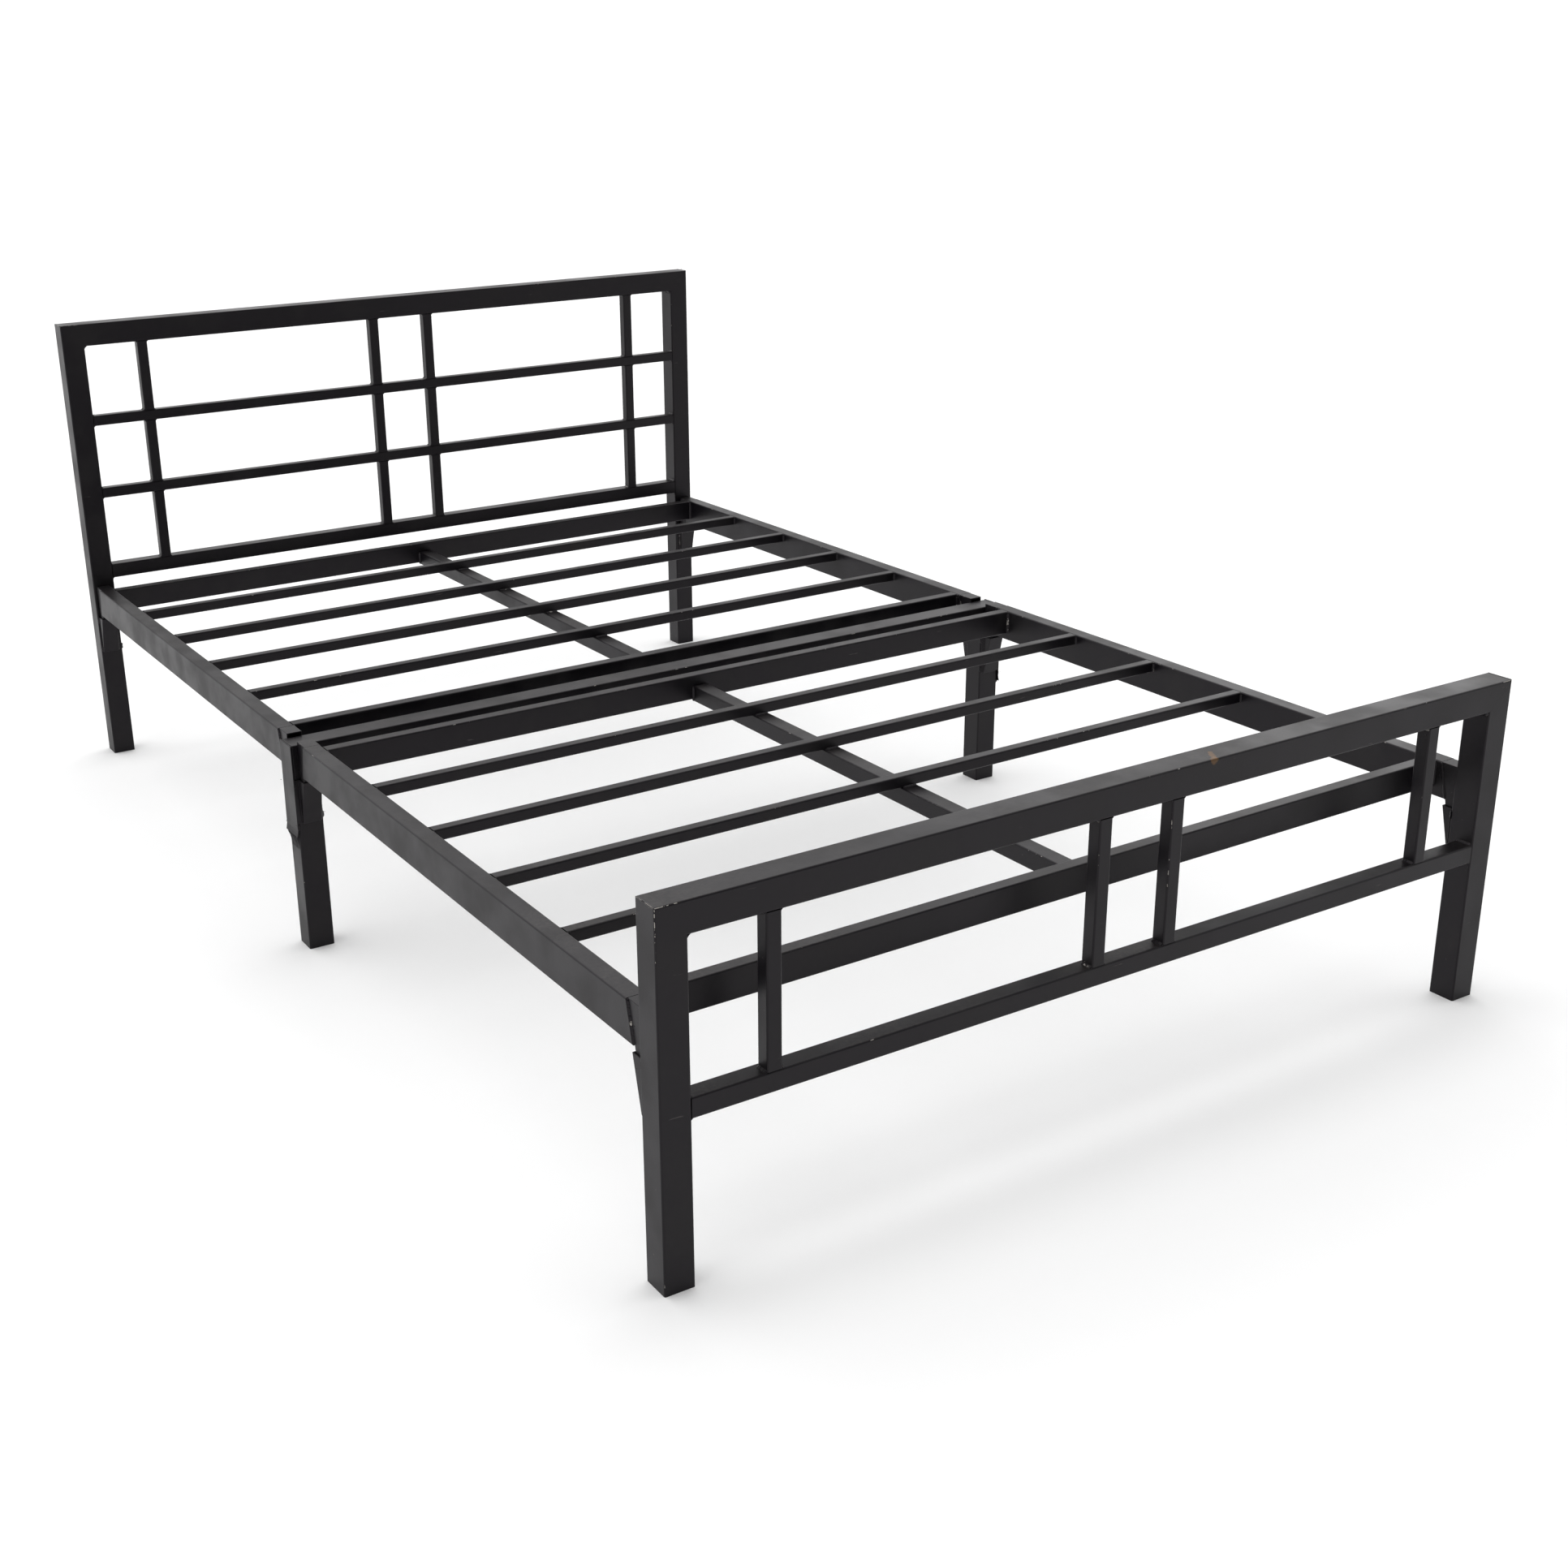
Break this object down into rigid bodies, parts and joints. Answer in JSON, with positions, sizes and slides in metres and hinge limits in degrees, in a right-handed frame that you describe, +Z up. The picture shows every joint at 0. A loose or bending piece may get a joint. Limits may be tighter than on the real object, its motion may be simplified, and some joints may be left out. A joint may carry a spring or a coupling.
{
  "type": "metal bed frame",
  "caption": "Low double bed frame in black powder-coated square steel tube, with a lattice headboard, a short footboard and slatted deck halves that lift out of wedge pockets.",
  "frame": {"origin": "on the floor under the middle of the bed", "axes": "+X to the right seen from the foot, +Y towards the headboard, +Z up"},
  "size_m": [1.2806, 2.064, 0.788],
  "materials": {
    "powder_coat": "satin black powder coat over welded steel, worn and lightly rusted at edges",
    "leg_plug": "black moulded plastic, scuffed"
  },
  "bodies": {
    "standing_frames": {"footboard_bottom_rail": "powder_coat", "footboard_plug_left": "leg_plug", "footboard_plug_right": "leg_plug", "footboard_pocket_left": "powder_coat", "footboard_pocket_right": "powder_coat", "footboard_post_left": "powder_coat", "footboard_post_right": "powder_coat", "footboard_top_rail": "powder_coat", "footboard_upright_1": "powder_coat", "footboard_upright_2": "powder_coat", "footboard_upright_3": "powder_coat", "footboard_upright_4": "powder_coat", "headboard_bottom_rail": "powder_coat", "headboard_lower_bar": "powder_coat", "headboard_plug_left": "leg_plug", "headboard_plug_right": "leg_plug", "headboard_pocket_left": "powder_coat", "headboard_pocket_right": "powder_coat", "headboard_post_left": "powder_coat", "headboard_post_right": "powder_coat", "headboard_top_rail": "powder_coat", "headboard_upper_bar": "powder_coat", "headboard_upright_1": "powder_coat", "headboard_upright_2": "powder_coat", "headboard_upright_3": "powder_coat", "headboard_upright_4": "powder_coat", "mid_frame_cross_tube": "powder_coat", "mid_frame_leg_left": "powder_coat", "mid_frame_leg_right": "powder_coat", "mid_frame_plug_left": "leg_plug", "mid_frame_plug_right": "leg_plug", "mid_frame_saddle_left": "powder_coat", "mid_frame_saddle_right": "powder_coat"},
    "foot_deck": {"foot_deck_centre_rail": "powder_coat", "foot_deck_mid_cross_rail": "powder_coat", "foot_deck_mid_tongue_left": "powder_coat", "foot_deck_mid_tongue_right": "powder_coat", "foot_deck_outer_cross_rail": "powder_coat", "foot_deck_outer_tongue_left": "powder_coat", "foot_deck_outer_tongue_right": "powder_coat", "foot_deck_side_rail_left": "powder_coat", "foot_deck_side_rail_right": "powder_coat", "foot_deck_slat_1": "powder_coat", "foot_deck_slat_2": "powder_coat", "foot_deck_slat_3": "powder_coat", "foot_deck_slat_4": "powder_coat"},
    "head_deck": {"head_deck_centre_rail": "powder_coat", "head_deck_mid_cross_rail": "powder_coat", "head_deck_mid_tongue_left": "powder_coat", "head_deck_mid_tongue_right": "powder_coat", "head_deck_outer_cross_rail": "powder_coat", "head_deck_outer_tongue_left": "powder_coat", "head_deck_outer_tongue_right": "powder_coat", "head_deck_side_rail_left": "powder_coat", "head_deck_side_rail_right": "powder_coat", "head_deck_slat_1": "powder_coat", "head_deck_slat_2": "powder_coat", "head_deck_slat_3": "powder_coat", "head_deck_slat_4": "powder_coat"}
  },
  "joints": [
    {"name": "foot_deck_lift", "type": "slide", "parent": "standing_frames", "child": "foot_deck", "axis": [0, 0, 1], "range_m": [0, 0.26]},
    {"name": "head_deck_lift", "type": "slide", "parent": "standing_frames", "child": "head_deck", "axis": [0, 0, 1], "range_m": [0, 0.6]}
  ]
}
